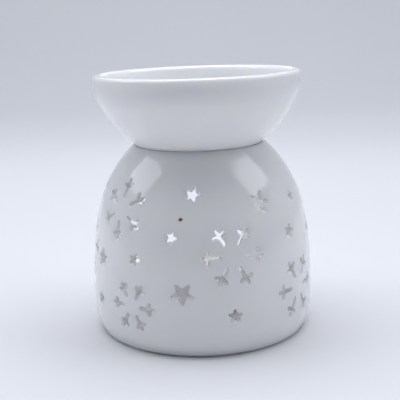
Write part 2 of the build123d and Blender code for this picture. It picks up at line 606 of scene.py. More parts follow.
def tile_wall(skin: Skin, wall: Meridian, low: Row, high: Row, holes: list[Row],
              blocked: Callable[[Array], Array], spacing: float) -> None:
    """Covers one face of the wall with near-even triangles, leaving its holes open.

    Args:
        skin: takes the new points and faces.
        wall: the face to cover.
        low: its lower border.
        high: its upper border.
        holes: the borders of its holes.
        blocked: says which points are in a hole or too near one.
        spacing: rough distance between points.
    """
    seam = low.bearing[0]
    lowest, highest = low.along.max() + FIRST_ROW * spacing, high.along.min() - LAST_ROW * spacing
    levels = np.arange(lowest, highest, spacing)
    points, normals = wall.place(np.full(len(levels), seam), levels)
    column = Row(skin.add(points, normals), np.full(len(levels), seam), levels)
    bearings, alongs = [], []
    for k, level in enumerate(levels):
        count = round(tau * np.interp(level, wall.along, wall.section[:, 0]) / spacing)
        steps = np.arange(1, count) if k % 2 else np.arange(count) + 0.5
        bearings.append(seam + steps * 360 / count)
        alongs.append(np.full(len(steps), level))
    bearing, along = np.concatenate(bearings), np.concatenate(alongs)
    points, normals = wall.place(bearing, along)
    free = ~blocked(points)
    inner = Row(skin.add(points[free], normals[free]), bearing[free], along[free])

    def wrapped(row: Row) -> Row:
        """The row with its first point again at its end, a full turn on."""
        return Row(np.append(row.numbers, row.numbers[0]), np.append(row.bearing, row.bearing[0] + 360),
                   np.append(row.along, row.along[0]))

    far = Row(column.numbers, column.bearing + 360, column.along)
    rows = [wrapped(low), wrapped(high), column, far, *holes, inner]
    starts = np.cumsum([0] + [len(row.numbers) for row in rows])
    numbers = np.concatenate([row.numbers for row in rows])
    scale = wall.section[:, 0].max() * radians(1)
    flat = np.concatenate([np.stack([(row.bearing - seam) * scale, row.along], axis=1) for row in rows])
    owner = np.concatenate([np.full(len(row.numbers), k) for k, row in enumerate(rows)])
    spans = [range(*ends) for ends in zip(starts, starts[1:])]
    edges = []
    for border in spans[:2]:
        edges += zip(border, border[1:])
    for side, end in ((spans[2], 0), (spans[3], -1)):
        upright = [spans[0][end], *side, spans[1][end]]
        edges += zip(upright, upright[1:])
    for loop in spans[4:-1]:
        edges += zip(loop, [*loop[1:], loop[0]])
    solved = delaunay_2d_cdt([Vector(p) for p in flat], edges, [], 0, WELD, True)
    source = [ids[0] if ids else -1 for ids in solved[3]]
    if min(source) < 0:
        raise ValueError("cut-outs cross each other or the wall's border")
    faces = np.array([[source[i] for i in face] for face in solved[2]])
    middle = flat[faces].mean(axis=1)
    kept = np.ones(len(faces), bool)
    same = (owner[faces] == owner[faces][:, :1]).all(axis=1)
    for k in range(4, 4 + len(holes)):
        mine = np.flatnonzero(same & (owner[faces[:, 0]] == k))
        kept[mine[within(flat[starts[k]:starts[k + 1]], middle[mine])]] = False
    roof = flat[starts[1]:starts[2]]
    kept &= middle[:, 1] < np.interp(middle[:, 0], roof[:, 0], roof[:, 1]) + 1e-6
    skin.faces.extend(map(tuple, numbers[faces[kept]]))


# ---------------------------------------------------------------- the holder's body

GROWTHS = 10  # steps in which a cut-out's outline grows to the border of its rounding
CREST_POWER = 0.7  # how steeply a rounded edge's thin glaze fades to its sides
MOUTH_SEARCH = 12.0  # how far below the wall's top the mouth is looked for
HALVINGS = 30  # how often that span is halved
CLEARANCE = 0.42  # how near a cut-out's border the wall's points may come, in spacings


@dataclass
class HolderBody:
    """The slip-cast body: a domed wall with a floor, a foot ring, a mouth, a doorway and cut-outs."""

    radius: float
    wall: float = 3.2
    foot_radius: float = 39.7
    foot_curve_top: float = 9.5
    foot_flat_start: float = 1.0
    waist_height: float = 20.0
    waist_arc: float = 121.5
    shoulder_height: float = 45.0
    shoulder_arc: float = 49.8
    outline_top: float = 74.0
    floor: float = 7.7
    corner: float = 2.5
    ring_inside: float = 35.5
    recess: float = 3.5
    foot_trims: tuple[float, ...] = (1.0, 0.7, 0.8)
    hub: float = 2.0
    seat_radius: float = 40.12
    mouth_rounds: Point = (0.55, 0.5)  # outside and inside
    ball_height: float = 103.1
    lean: float = 0.7
    lean_bearing: float = -10.5
    lean_pivot: float = 48.0
    columns: int = 200
    seam: float = -32.0
    spacing: float = 1.7
    door: ArchShape = ArchShape(half_width=24.0, sill=8.0, spring=33.0, corner=1.5)
    door_edge: Edge = Edge(outer=0.75, inner=0.25, spacing=0.8)
    cut_edge: Edge = Edge(outer=0.45, inner=0.3, spacing=0.42)
    cut_depth: float = 10.0
    stroke: float = 1.3
    arm: Point = (4.2, 11.4)  # a full snowflake's arms start and end this far from its middle
    arm_taper: tuple[float, float, float] = (1.04, 0.96, 0.9)  # width at its start, its end, its barbs' roots
    arm_blend: float = 0.5
    fork: float = 8.4
    barb: float = 2.15
    barb_turn: float = 73.0
    star_core: float = 0.44
    star_tip: Point = (0.1, 0.18)  # a point's radius, as a share of the star's and millimetres more
    star_blend: float = 0.1
    iron_spot: Point = (-21.4, 50.0)  # bearing and height
    # Each snowflake: bearing, height, size, turn. Each star: bearing, height, radius, turn.
    snowflakes: tuple[tuple[float, float, float, float], ...] = (
        (4.5, 36.7, 1.0, 0.0), (-59.3, 51.4, 1.0, 30.0), (-47.8, 17.4, 0.84, 0.0), (45.4, 20.5, 1.04, 0.0),
        (84.0, 49.0, 0.94, 30.0), (110.0, 22.0, 1.0, 0.0), (-95.0, 34.0, 1.0, 0.0), (-119.0, 52.0, 0.8, 30.0),
    )
    stars: tuple[tuple[float, float, float, float], ...] = (
        (-15.6, 58.3, 2.7, 0.0), (-26.5, 43.6, 2.4, 0.0), (-45.8, 34.8, 2.3, 0.0), (23.5, 54.1, 4.1, 0.0),
        (50.9, 53.2, 2.0, 20.0), (40.6, 41.9, 2.8, 0.0), (66.5, 39.4, 2.9, 30.0), (-20.6, 24.1, 4.2, -90.0),
        (4.6, 15.5, 2.6, 90.0), (-71.8, 31.7, 3.6, 90.0), (-74.5, 15.8, 2.6, 18.0), (77.0, 22.5, 2.4, 60.0),
        (80.0, 64.0, 2.0, 0.0), (104.0, 41.0, 2.6, 40.0), (114.0, 56.5, 3.4, 90.0), (129.0, 43.0, 2.3, 10.0),
        (92.0, 12.5, 2.6, 90.0), (-93.0, 57.0, 3.4, 75.0), (-96.0, 14.5, 3.6, -90.0),
        (-118.0, 33.0, 2.6, 25.0), (-121.0, 17.0, 2.9, 55.0),
    )

    def __post_init__(self) -> None:
        """Lays out the outer and inner faces of the wall."""
        self.outer = Meridian(self.section(0.0), 1)
        self.inner = Meridian(self.section(self.wall), -1)

    def section(self, inset: float) -> Array:
        """The wall's section from its foot, or from the floor, up past the mouth.

        Args:
            inset: 0 for the outer face, the wall's thickness for the inner one.

        Returns:
            Closely spaced points as radius and height.
        """
        waist_end = degrees(asin((self.shoulder_height - self.waist_height) / self.waist_arc))
        waist_centre = (self.radius - self.waist_arc, self.waist_height)
        centre_r = waist_centre[0] + (self.waist_arc - self.shoulder_arc) * cos(radians(waist_end))
        centre_z = self.shoulder_height - self.shoulder_arc * sin(radians(waist_end))
        shoulder_end = degrees(asin((self.outline_top - centre_z) / self.shoulder_arc))
        if inset:
            low = self.floor + self.corner
            centre = (self.radius - inset - self.corner, low)
            foot = arc(centre, self.corner, -90.0, 0.0, 0.05)
        else:
            low = self.foot_curve_top
            across = self.radius - self.foot_radius
            foot_arc = (across**2 + low**2) / (2 * across)
            start = degrees(asin((self.foot_flat_start - low) / foot_arc))
            foot = arc((self.radius - foot_arc, low), foot_arc, start, 0.0, 0.2)
        upright = straight((self.radius - inset, low), (self.radius - inset, self.waist_height), 0.5)
        waist = arc(waist_centre, self.waist_arc - inset, 0, waist_end, 0.25)
        shoulder = arc((centre_r, centre_z), self.shoulder_arc - inset, waist_end, shoulder_end, 0.2)
        return np.concatenate([foot, upright[1:], waist[1:], shoulder[1:]])

    @property
    def leaned_up(self) -> Array:
        """The dish's own upright, which leans a little out of plumb."""
        side, low = radians(self.lean_bearing), radians(self.lean)
        return np.array([-sin(low) * cos(side), -sin(low) * sin(side), cos(low)])

    @property
    def ball_centre(self) -> Array:
        """Centre of the ball that the mouth is trimmed to."""
        pivot = np.array([0.0, 0.0, self.lean_pivot])
        return pivot + self.leaned_up * (self.ball_height - self.lean_pivot)

    def arm_shape(self, size: float) -> StrokeShape:
        """One arm of a snowflake, pointing along X.

        Args:
            size: the snowflake's size against a full one.

        Returns:
            The arm with its two barbs.
        """
        half = self.stroke / 2
        inner, outer = self.arm[0] * size + half, self.arm[1] * size - half
        turn = radians(self.barb_turn)
        fork = (self.fork * size, 0.0)
        tip = (fork[0] + self.barb * size * cos(turn), self.barb * size * sin(turn))
        near, far, root = (half * share for share in self.arm_taper)
        strokes = (
            Stroke((inner, 0.0), (outer, 0.0), near, far),
            Stroke(fork, tip, root, half),
            Stroke(fork, (tip[0], -tip[1]), root, half),
        )
        return StrokeShape(strokes, self.arm_blend, (outer + half, 0.0))

    def star_shape(self, radius: float) -> StrokeShape:
        """A soft five-pointed star with one point along X.

        Args:
            radius: from its middle to a point.

        Returns:
            The star.
        """
        tip = self.star_tip[0] * radius + self.star_tip[1]
        reach = radius - tip
        points = [(cos(tau * k / 5) * reach, sin(tau * k / 5) * reach) for k in range(5)]
        strokes = tuple(Stroke((0.0, 0.0), point, radius * self.star_core, tip) for point in points)
        return StrokeShape(strokes, self.star_blend * radius, (radius, 0.0))

    def cuts(self) -> list[Cut]:
        """Lays out the cut-outs.

        Returns:
            Every cut-out, the doorway first.
        """
        back = np.array([0.0, self.radius, 0.0])
        left, up = np.array([-1.0, 0.0, 0.0]), np.array([0.0, 0.0, 1.0])
        found = [Cut(self.door, back, left, up, self.radius, self.door_edge)]
        for bearing, height, size, turn in self.snowflakes:
            for k in range(6):
                found.append(self.cut_at(self.arm_shape(size), bearing, height, turn + 60 * k))
        for bearing, height, radius, turn in self.stars:
            found.append(self.cut_at(self.star_shape(radius), bearing, height, turn))
        return found

    def outer_at(self, bearing: float, height: float) -> tuple[Array, Array]:
        """A place on the outer face.

        Args:
            bearing: round the body from the front.
            height: above the foot.

        Returns:
            The point and its normal.
        """
        along = np.interp([height], self.outer.section[:, 1], self.outer.along)
        points, normals = self.outer.place(np.array([bearing]), along)
        return points[0], normals[0]

    def cut_at(self, shape: StrokeShape, bearing: float, height: float, turn: float) -> Cut:
        """A cut-out square through the wall.

        Args:
            shape: what is cut.
            bearing: where its middle is, round the body.
            height: and how high.
            turn: how far the shape is turned, anticlockwise from outside.

        Returns:
            The cut-out.
        """
        origin, out = self.outer_at(bearing, height)
        level = np.array([cos(radians(bearing)), sin(radians(bearing)), 0.0])
        rise = np.cross(out, level)
        across = level * cos(radians(turn)) + rise * sin(radians(turn))
        return Cut(shape, origin, across, np.cross(out, across), self.cut_depth, self.cut_edge)

    def pierce(self, skin: Skin, cut: Cut) -> tuple[Row, Row]:
        """Builds the sides of a cut-out and its rounded edges.

        Args:
            skin: takes the points and faces.
            cut: the cut-out.

        Returns:
            The borders that it leaves in the outer and the inner face.
        """
        line = outline(cut.shape, cut.edge.spacing)
        slope = unit(gap_slope(cut.shape, line))
        side = -(slope[:, :1] * cut.across + slope[:, 1:] * cut.up)
        borders, walls = [], []
        faces = (self.outer, cut.edge.outer, 0.0, 4), (self.inner, cut.edge.inner, -self.wall, 3)
        for face, size, reach, steps in faces:
            wide = line
            for share in np.linspace(1 / GROWTHS, 1.0, GROWTHS):
                wide = settle(cut.shape, relax(wide), size * share, 2)
            bearing, along = face.struck(cut.spread(wide), cut.out, reach, self.seam)
            border, normals = face.place(bearing, along)
            corner = face.place(*face.struck(cut.spread(line), cut.out, reach, self.seam))[0]
            inside = corner - cut.out * size * face.facing
            numbers = skin.add(border, normals)
            borders.append(Row(numbers, bearing, along))
            rows = (border, corner, inside)
            walls.append(self.round_edge(skin, numbers, rows, (normals, side), steps))
        skin.strip(walls[0], walls[1])
        return borders[0], borders[1]

    @staticmethod
    def round_edge(skin: Skin, first: Array, rows: tuple[Array, Array, Array],
                   normals: tuple[Array, Array], steps: int) -> Array:
        """Builds a rounded edge from a row that is already there.

        Args:
            skin: takes the points and faces.
            first: numbers of the points that it starts from.
            rows: the starting row, the sharp edge and the last row.
            normals: the starting and the last row's normals.
            steps: spans across it.

        Returns:
            The last row's numbers.
        """
        curve = bend(*rows, steps)
        for k in range(1, steps + 1):
            share = k / steps
            normal = normals[0] * (1 - share) + normals[1] * share
            row = skin.add(curve[k], normal, sin(pi * share) ** CREST_POWER)
            skin.strip(first, row)
            first = row
        return first

    def mouth(self, skin: Skin) -> tuple[Row, Row]:
        """Builds the rounded mouth with the band that the dish sits on.

        Args:
            skin: takes the points and faces.

        Returns:
            The upper borders of the outer and the inner face.
        """
        bearing = Turning(self.columns, self.seam).bearings
        sides = []
        for face, size in zip((self.outer, self.inner), self.mouth_rounds):
            high = np.full(self.columns, face.along[-1])
            low = high - MOUTH_SEARCH
            for _ in range(HALVINGS):
                middle = (low + high) / 2
                away = face.place(bearing, middle)[0] - self.ball_centre
                clear = np.linalg.norm(away, axis=1) > self.seat_radius
                low, high = np.where(clear, middle, low), np.where(clear, high, middle)
            border, normals = face.place(bearing, low - size)
            row = Row(skin.add(border, normals), bearing, low - size)
            sides.append((row, border, normals, face.place(bearing, low)[0], size))
        across = unit(sides[1][3] - sides[0][3])
        ends = []
        for (row, border, normals, corner, size), way in zip(sides, (1, -1)):
            inside = corner + across * size * way
            inward = unit(self.ball_centre - inside)
            inside = self.ball_centre - inward * self.seat_radius
            rows = (border, corner, inside)
            ends.append(self.round_edge(skin, row.numbers, rows, (normals, inward), 5))
        skin.strip(ends[0], ends[1])
        return sides[0][0], sides[1][0]

    def foot_and_floor(self, skin: Skin) -> tuple[Row, Row]:
        """Builds the foot ring, the recess under the floor, and the floor.

        Args:
            skin: takes the points and faces.

        Returns:
            The lower borders of the outer and the inner face.
        """
        turning = Turning(self.columns, self.seam)
        borders = []
        for face in (self.outer, self.inner):
            points, normals = face.place(turning.bearings, np.zeros(self.columns))
            borders.append(Row(skin.add(points, normals), turning.bearings, np.zeros(self.columns)))
        corners = [self.outer.section[0], (self.foot_radius, 0.0), (self.ring_inside, 0.0),
                   (self.ring_inside, self.recess), (self.hub, self.recess)]
        section = soft_section(chain(corners, [1.0, 1.5, 1.0, 4.0]), self.foot_trims)
        ring = skin.lathe(section, -section_normals(section), turning, borders[0].numbers)
        skin.fan(ring, turning, self.recess, -1.0)
        level = straight(self.inner.section[0], (self.hub, self.floor), 4.0)
        ring = skin.lathe(level, section_normals(level), turning, borders[1].numbers)
        skin.fan(ring, turning, self.floor, 1.0)
        return borders[0], borders[1]

    def glaze(self) -> bpy.types.Material:
        """The body's glaze, bare at the foot and with an iron spot in it."""
        spot = tuple(float(c) * MM for c in self.outer_at(*self.iron_spot)[0])
        return Glaze("body_glaze", bare_foot=True, iron_spot=spot).make()

    def build(self) -> bpy.types.Mesh:
        """Builds the foot, the floor, the mouth, the cut-outs and the wall between them.

        Returns:
            The body's mesh.
        """
        skin = Skin()
        lows = self.foot_and_floor(skin)
        highs = self.mouth(skin)
        cuts = self.cuts()
        holes = [self.pierce(skin, cut) for cut in cuts]
        for k, face in enumerate((self.outer, self.inner)):

            def blocked(points: Array, side: int = k) -> Array:
                """Which points are in a cut-out or too near its border.

                Args:
                    points: one to a row.
                    side: 0 on the outer face, 1 on the inner one.

                Returns:
                    True for each such point.
                """
                hit = np.zeros(len(points), bool)
                for cut in cuts:
                    rounding = cut.edge.inner if side else cut.edge.outer
                    hit |= cut.covers(points, rounding + self.spacing * CLEARANCE)
                return hit

            tile_wall(skin, face, lows[k], highs[k], [pair[k] for pair in holes], blocked, self.spacing)
        return skin.mesh("holder_body_glazed")


# ---------------------------------------------------------------- the melt dish


@dataclass
class MeltDish:
    """The loose dish: a ball-bottomed bowl with an upright rim band, leaning a little in its seat."""

    body: HolderBody
    ball: float = 40.05
    foot_height: float = 64.3
    floor_thickness: float = 3.6
    wall: float = 3.4
    bowl_top: float = 84.5
    crease: Point = (38.95, 90.4)
    rim: Point = (39.25, 97.9)
    trims: tuple[float, ...] = (0.8, 3.2, 3.0, 1.45, 1.35, 3.6)
    hub: float = 1.0
    lip_fade: float = 0.9
    columns: int = 288
    pooled: Colour = (0.82, 0.825, 0.845, 1.0)
    thin: Colour = (0.835, 0.835, 0.84, 1.0)

    def glaze(self) -> bpy.types.Material:
        """The dish's glaze, a little greyer than the body's."""
        return Glaze("dish_glaze", pooled=self.pooled, thin=self.thin).make()

    def build(self) -> bpy.types.Mesh:
        """Turns the dish round its leaning axis.

        Returns:
            The dish's mesh.
        """
        centre = (0.0, self.body.ball_height)
        well = self.ball - self.wall
        well_floor = self.foot_height + self.floor_thickness
        spans = ((self.ball, self.foot_height, self.bowl_top), (well, self.rim[1], well_floor))
        bowls = []
        for radius, *heights in spans:
            turns = [degrees(asin((height - centre[1]) / radius)) for height in heights]
            bowls.append(arc(centre, radius, *turns, 0.9))
        under, inside = bowls
        runs = [
            straight((self.hub, self.foot_height), under[0], 2.0),
            under,
            *chain([under[-1], self.crease, self.rim, inside[0]], [0.8, 0.8, 1.0]),
            inside,
            straight(inside[-1], (self.hub, well_floor), 1.2),
        ]
        section = soft_section(runs, self.trims)
        crest = np.exp(-((section[:, 1] - self.rim[1]) ** 2) * self.lip_fade)
        up = self.body.leaned_up
        across = unit(np.cross(up, np.cross([1.0, 0.0, 0.0], up)))
        origin = np.array([0.0, 0.0, self.body.lean_pivot]) - up * self.body.lean_pivot
        skin = Skin()
        skin.solid(section, Turning(self.columns, 0.0, tuple(origin), tuple(across), tuple(up)), edge=crest)
        return skin.mesh("melt_dish_glazed")


# ---------------------------------------------------------------- objects and node trees


def placed(name: str, data: bpy.types.ID) -> bpy.types.Object:
    """A new object in the scene.

    Args:
        name: its name.
        data: its mesh, light or camera.

    Returns:
        The object, unturned at the origin.
    """
    made = bpy.data.objects.new(name, data)
    bpy.context.scene.collection.objects.link(made)
    return made


class Bench:
    """A node tree in the making."""

    def __init__(self, tree: bpy.types.NodeTree) -> None:
        """Takes the tree to work on."""
        self.tree = tree

    def node(self, kind: str, inputs: dict[str | int, object] | None = None,
             **settings: object) -> bpy.types.Node:
        """Adds a node.

        Args:
            kind: the node's type.
            inputs: values or sockets for its inputs, by name or number.
            settings: its own properties.

        Returns:
            The node.
        """
        made = self.tree.nodes.new(kind)
        for key, value in settings.items():
            setattr(made, key, value)
        for key, value in (inputs or {}).items():
            if isinstance(value, Socket):
                self.tree.links.new(value, made.inputs[key])
            else:
                made.inputs[key].default_value = value
        return made

    def math(self, kind: str, *values: object) -> Socket:
        """The result of a Math node of this kind."""
        return self.node("ShaderNodeMath", dict(enumerate(values)), operation=kind).outputs[0]

    def times(self, first: object, second: object) -> Socket:
        """The product of two numbers."""
        return self.math("MULTIPLY", first, second)

    def vector(self, kind: str, inputs: dict[str | int, object]) -> Socket:
        """The result of a Vector Math node of this kind, a number for a distance."""
        made = self.node("ShaderNodeVectorMath", inputs, operation=kind)
        return made.outputs["Value" if kind == "DISTANCE" else "Vector"]

    def noise(self, vector: Socket, scale: object, detail: float = 2.0) -> bpy.types.bpy_prop_collection:
        """The height and the colour of cloudy noise."""
        return self.node("ShaderNodeTexNoise", {"Vector": vector, "Scale": scale, "Detail": detail}).outputs

    def ramp(self, value: object, low: object, high: object, start: float = 0.0,
             end: float = 1.0) -> Socket:
        """Eases from start to end as value goes from low to high."""
        inputs = {"Value": value, "From Min": low, "From Max": high, "To Min": start, "To Max": end}
        return self.node("ShaderNodeMapRange", inputs, interpolation_type="SMOOTHSTEP").outputs[0]

    def spread(self, share: Socket, low: float, high: float) -> Socket:
        """A number that goes evenly from low to high as share goes from 0 to 1."""
        return self.math("MULTIPLY_ADD", share, high - low, low)

    def mix(self, share: object, first: object, second: object) -> Socket:
        """Blends two colours."""
        made = self.node("ShaderNodeMix", {0: share, 6: first, 7: second}, data_type="RGBA")
        return made.outputs[2]


class Tree(Bench):
    """A geometry node tree that takes geometry and named sizes."""

    def __init__(self, name: str, sizes: dict[str, float | int]) -> None:
        """Starts the tree.

        Args:
            name: the tree's name.
            sizes: its inputs and their values.
        """
        super().__init__(bpy.data.node_groups.new(name, "GeometryNodeTree"))
        self.sizes = sizes
        self.tree.interface.new_socket("Geometry", in_out="INPUT", socket_type="NodeSocketGeometry")
        for label, value in sizes.items():
            kind = "NodeSocketInt" if isinstance(value, int) else "NodeSocketFloat"
            self.tree.interface.new_socket(label, in_out="INPUT", socket_type=kind)
        self.tree.interface.new_socket("Geometry", in_out="OUTPUT", socket_type="NodeSocketGeometry")
        self.start = self.tree.nodes.new("NodeGroupInput")

    def finish(self, geometry: Socket, material: bpy.types.Material) -> None:
        """Ends the tree in real, dressed geometry.

        Args:
            geometry: what the tree makes.
            material: the finish that it gets.
        """
        real = self.node("GeometryNodeRealizeInstances", {0: geometry}).outputs[0]
        dressed = self.node("GeometryNodeSetMaterial", {"Geometry": real, "Material": material}).outputs[0]
        self.tree.links.new(dressed, self.node("NodeGroupOutput").inputs[0])

    def apply(self, mesh: bpy.types.Mesh, name: str) -> bpy.types.Mesh:
        """Runs the tree on a mesh.

        Args:
            mesh: what it starts from.
            name: the result's name.

        Returns:
            A plain mesh.
        """
        holder = placed(name, mesh)
        modifier = holder.modifiers.new(name, "NODES")
        modifier.node_group = self.tree
        for item in self.tree.interface.items_tree:
            if item.item_type == "SOCKET" and item.in_out == "INPUT" and item.name in self.sizes:
                modifier[item.identifier] = self.sizes[item.name]
        ready = holder.evaluated_get(bpy.context.evaluated_depsgraph_get())
        result = bpy.data.meshes.new_from_object(ready)
        bpy.data.objects.remove(holder)
        result.name = name
        return result


# ---------------------------------------------------------------- the tealight


@dataclass
class Tealight:
    """A standard tealight: a crimped foil cup, its wax, the tab and a plaited wick."""

    base: float
    radius: float = 19.0
    height: float = 15.0
    metal: float = 0.3
    rim_radius: float = 19.5
    rim_depth: float = 0.6
    wax_height: float = 12.5
    tab_radius: float = 6.5
    tab_metal: float = 0.3
    tab_hole: float = 0.7
    tab_trims: tuple[float, ...] = (0.12, 0.5, 0.2)
    neck_radius: float = 1.3
    neck_height: float = 4.0
    wick_radius: float = 0.75
    wick_height: float = 20.5
    wick_lean: Point = (0.35, 0.14)  # how far its top stands aside
    hub: float = 1.0
    taper: float = 0.05
    stamp: tuple[float, float, float] = (10.0, 11.0, 0.25)  # the base's step: inner and outer radius, height
    cup_trims: tuple[float, ...] = (0.4, 0.4, 1.3, 0.15, 0.2, 0.25, 0.25, 1.1)
    crimps: int = 60
    crimp_depth: float = 0.16
    crimp_columns: int = 8
    crimp_ends: Point = (0.9, 1.2)  # start above the base, end below the top
    crimp_fade: float = 1.1
    crimp_sharpness: float = 1.6
    wax_hub: float = 2.0
    wax_gap: float = 0.02
    wax_trims: tuple[float, ...] = (1.1, 0.05)
    # The wax's skin at the cup: distance in from the cup, and down from the top.
    creep: tuple[Point, ...] = ((0.0, 0.0), (0.25, 0.34), (0.8, 0.6), (1.9, 0.74), (4.0, 0.8))
    # The same nearer the wick: radius, and distance down.
    dimple: tuple[Point, ...] = ((12.0, 0.72), (8.0, 0.72), (5.0, 0.85), (3.0, 1.05), (1.8, 1.2),
                                 (1.1, 1.1), (0.6, 0.7))

    @property
    def floor(self) -> float:
        """Height of the cup's floor."""
        return self.base + self.metal

    def cup(self, foil: bpy.types.Material) -> bpy.types.Mesh:
        """The foil cup with its crimped wall, stamped base and rolled rim.

        Args:
            foil: its finish.

        Returns:
            Its mesh.
        """
        top = self.base + self.height
        rim_low = top - self.rim_depth
        inner = self.radius - self.metal
        stamp_inner, stamp_outer, lift = self.stamp
        corners = [
            (self.hub, self.base + lift), (stamp_inner, self.base + lift), (stamp_outer, self.base),
            (self.radius - self.taper, self.base), (self.radius, rim_low), (self.rim_radius, rim_low),
            (self.rim_radius, top), (inner, top), (inner, self.floor), (self.hub, self.floor),
        ]
        section = soft_section(chain(corners, [1.5, 1.0, 1.0, 0.8, 0.3, 0.3, 0.3, 0.8, 1.5]), self.cup_trims)
        skin = Skin()
        skin.solid(section, Turning(self.crimps * self.crimp_columns))
        plain = skin.mesh("tealight_cup_plain", exact=False)
        sizes = {
            "Crimps": self.crimps, "Depth": self.crimp_depth * MM,
            "Wall Radius": (inner - 2 * self.metal) * MM, "Low": (self.base + self.crimp_ends[0]) * MM,
            "High": (top - self.crimp_ends[1]) * MM, "Fade": self.crimp_fade * MM,
        }
        tree = Tree("crimped_cup", sizes)
        size = tree.start.outputs
        position = tree.node("GeometryNodeInputPosition").outputs[0]
        place = tree.node("ShaderNodeSeparateXYZ", {0: position}).outputs
        turn = tree.math("ARCTAN2", place[1], place[0])
        wave = tree.math("COSINE", tree.times(turn, size["Crimps"]))
        dip = tree.math("POWER", tree.math("MULTIPLY_ADD", wave, 0.5, 0.5), self.crimp_sharpness)
        squares = [tree.times(place[k], place[k]) for k in (0, 1)]
        radius = tree.math("SQRT", tree.math("ADD", *squares))
        on_wall = tree.math("GREATER_THAN", radius, size["Wall Radius"])
        fade_in = tree.ramp(place[2], size["Low"], tree.math("ADD", size["Low"], size["Fade"]))
        fade_start = tree.math("SUBTRACT", size["High"], size["Fade"])
        fade_out = tree.ramp(place[2], fade_start, size["High"], 1.0, 0.0)
        mask = tree.times(tree.times(fade_in, fade_out), on_wall)
        inward = tree.times(tree.times(dip, mask), tree.times(size["Depth"], -1.0))
        parts = {k: tree.times(inward, tree.math("DIVIDE", place[k], radius)) for k in (0, 1)}
        shift = tree.node("ShaderNodeCombineXYZ", parts).outputs[0]
        moved = tree.node("GeometryNodeSetPosition", {"Geometry": tree.start.outputs[0], "Offset": shift})
        tree.finish(moved.outputs[0], foil)
        return tree.apply(plain, "tealight_cup_foil")

    def wax(self) -> bpy.types.Mesh:
        """Turns the wax, its skin drawn up at the cup and dimpled at the wick.

        Returns:
            Its mesh.
        """
        side = self.radius - self.metal - self.crimp_depth - self.wax_gap
        top = self.floor + self.wax_height
        runs = chain([(self.wax_hub, self.floor), (side, self.floor), (side, top)], [1.5, 1.0])
        surface = [(side - inward, top - down) for inward, down in self.creep]
        surface += [(radius, top - down) for radius, down in self.dimple]
        skin = Skin()
        skin.solid(soft_section([*runs, np.array(surface)], self.wax_trims), Turning(144))
        return skin.mesh("tealight_wax_set")

    def tab(self) -> bpy.types.Mesh:
        """Turns the pressed tab that holds the wick upright.

        Returns:
            Its mesh.
        """
        sheet = self.floor + self.tab_metal
        neck_top = sheet + self.neck_height
        corners = [(self.tab_radius, self.floor), (self.tab_radius, sheet), (self.neck_radius, sheet),
                   (self.neck_radius, neck_top), (self.tab_hole, neck_top)]
        section = soft_section(chain(corners, [0.15, 0.6, 0.5, 0.2]), self.tab_trims)
        skin = Skin()
        skin.solid(section, Turning(64), first=(1.0, 0.0))
        return skin.mesh("wick_tab_pressed", exact=False)

    def wick(self, cotton: bpy.types.Material) -> bpy.types.Mesh:
        """The wick: strands plaited along its line.

        Args:
            cotton: its finish.

        Returns:
            Its mesh.
        """
        low = self.floor + self.tab_metal
        high = self.base + self.wick_height
        share = np.linspace(0.0, 1.0, 12)
        lean = [reach * share**2 for reach in self.wick_lean]
        points = np.stack([*lean, low + (high - low) * share], axis=1) * MM
        line = bpy.data.meshes.new("wick_line")
        line.from_pydata(points.tolist(), [(k, k + 1) for k in range(len(points) - 1)], [])
        sizes = {
            "Strands": 3, "Steps": 150, "Crossings": 5.0, "Width": self.wick_radius * 0.5 * MM,
            "Depth": self.wick_radius * 0.28 * MM, "Strand Radius": self.wick_radius * 0.4 * MM,
        }
        tree = Tree("plaited_wick", sizes)
        size = tree.start.outputs
        curve = tree.node("GeometryNodeMeshToCurve", {0: tree.start.outputs[0]}).outputs[0]
        even = tree.node("GeometryNodeResampleCurve", {"Curve": curve, "Count": size["Steps"]}).outputs[0]
        amount = {"Geometry": even, "Amount": size["Strands"]}
        copies = tree.node("GeometryNodeDuplicateElements", amount, domain="SPLINE").outputs
        along = tree.node("GeometryNodeSplineParameter").outputs["Factor"]
        part = tree.math("DIVIDE", copies["Duplicate Index"], size["Strands"])
        turn = tree.times(tree.math("MULTIPLY_ADD", along, size["Crossings"], part), tau)
        shift = tree.node("ShaderNodeCombineXYZ", {
            0: tree.times(tree.math("SINE", turn), size["Width"]),
            1: tree.times(tree.math("SINE", tree.times(turn, 2.0)), size["Depth"]),
        }).outputs[0]
        plait = tree.node("GeometryNodeSetPosition", {"Geometry": copies[0], "Offset": shift}).outputs[0]
        round_size = {"Resolution": 10, "Radius": size["Strand Radius"]}
        ring = tree.node("GeometryNodeCurvePrimitiveCircle", round_size).outputs[0]
        profile = {"Curve": plait, "Profile Curve": ring, "Fill Caps": True}
        tube = tree.node("GeometryNodeCurveToMesh", profile)
        smooth = tree.node("GeometryNodeSetShadeSmooth", {"Geometry": tube.outputs[0]}).outputs[0]
        tree.finish(smooth, cotton)
        return tree.apply(line, "wick_plaited")


# ---------------------------------------------------------------- finishes


class Pattern(Enum):
    """Shader groups that several finishes share."""

    RIPPLE = "surface_ripple"
    SPECKS = "fine_specks"


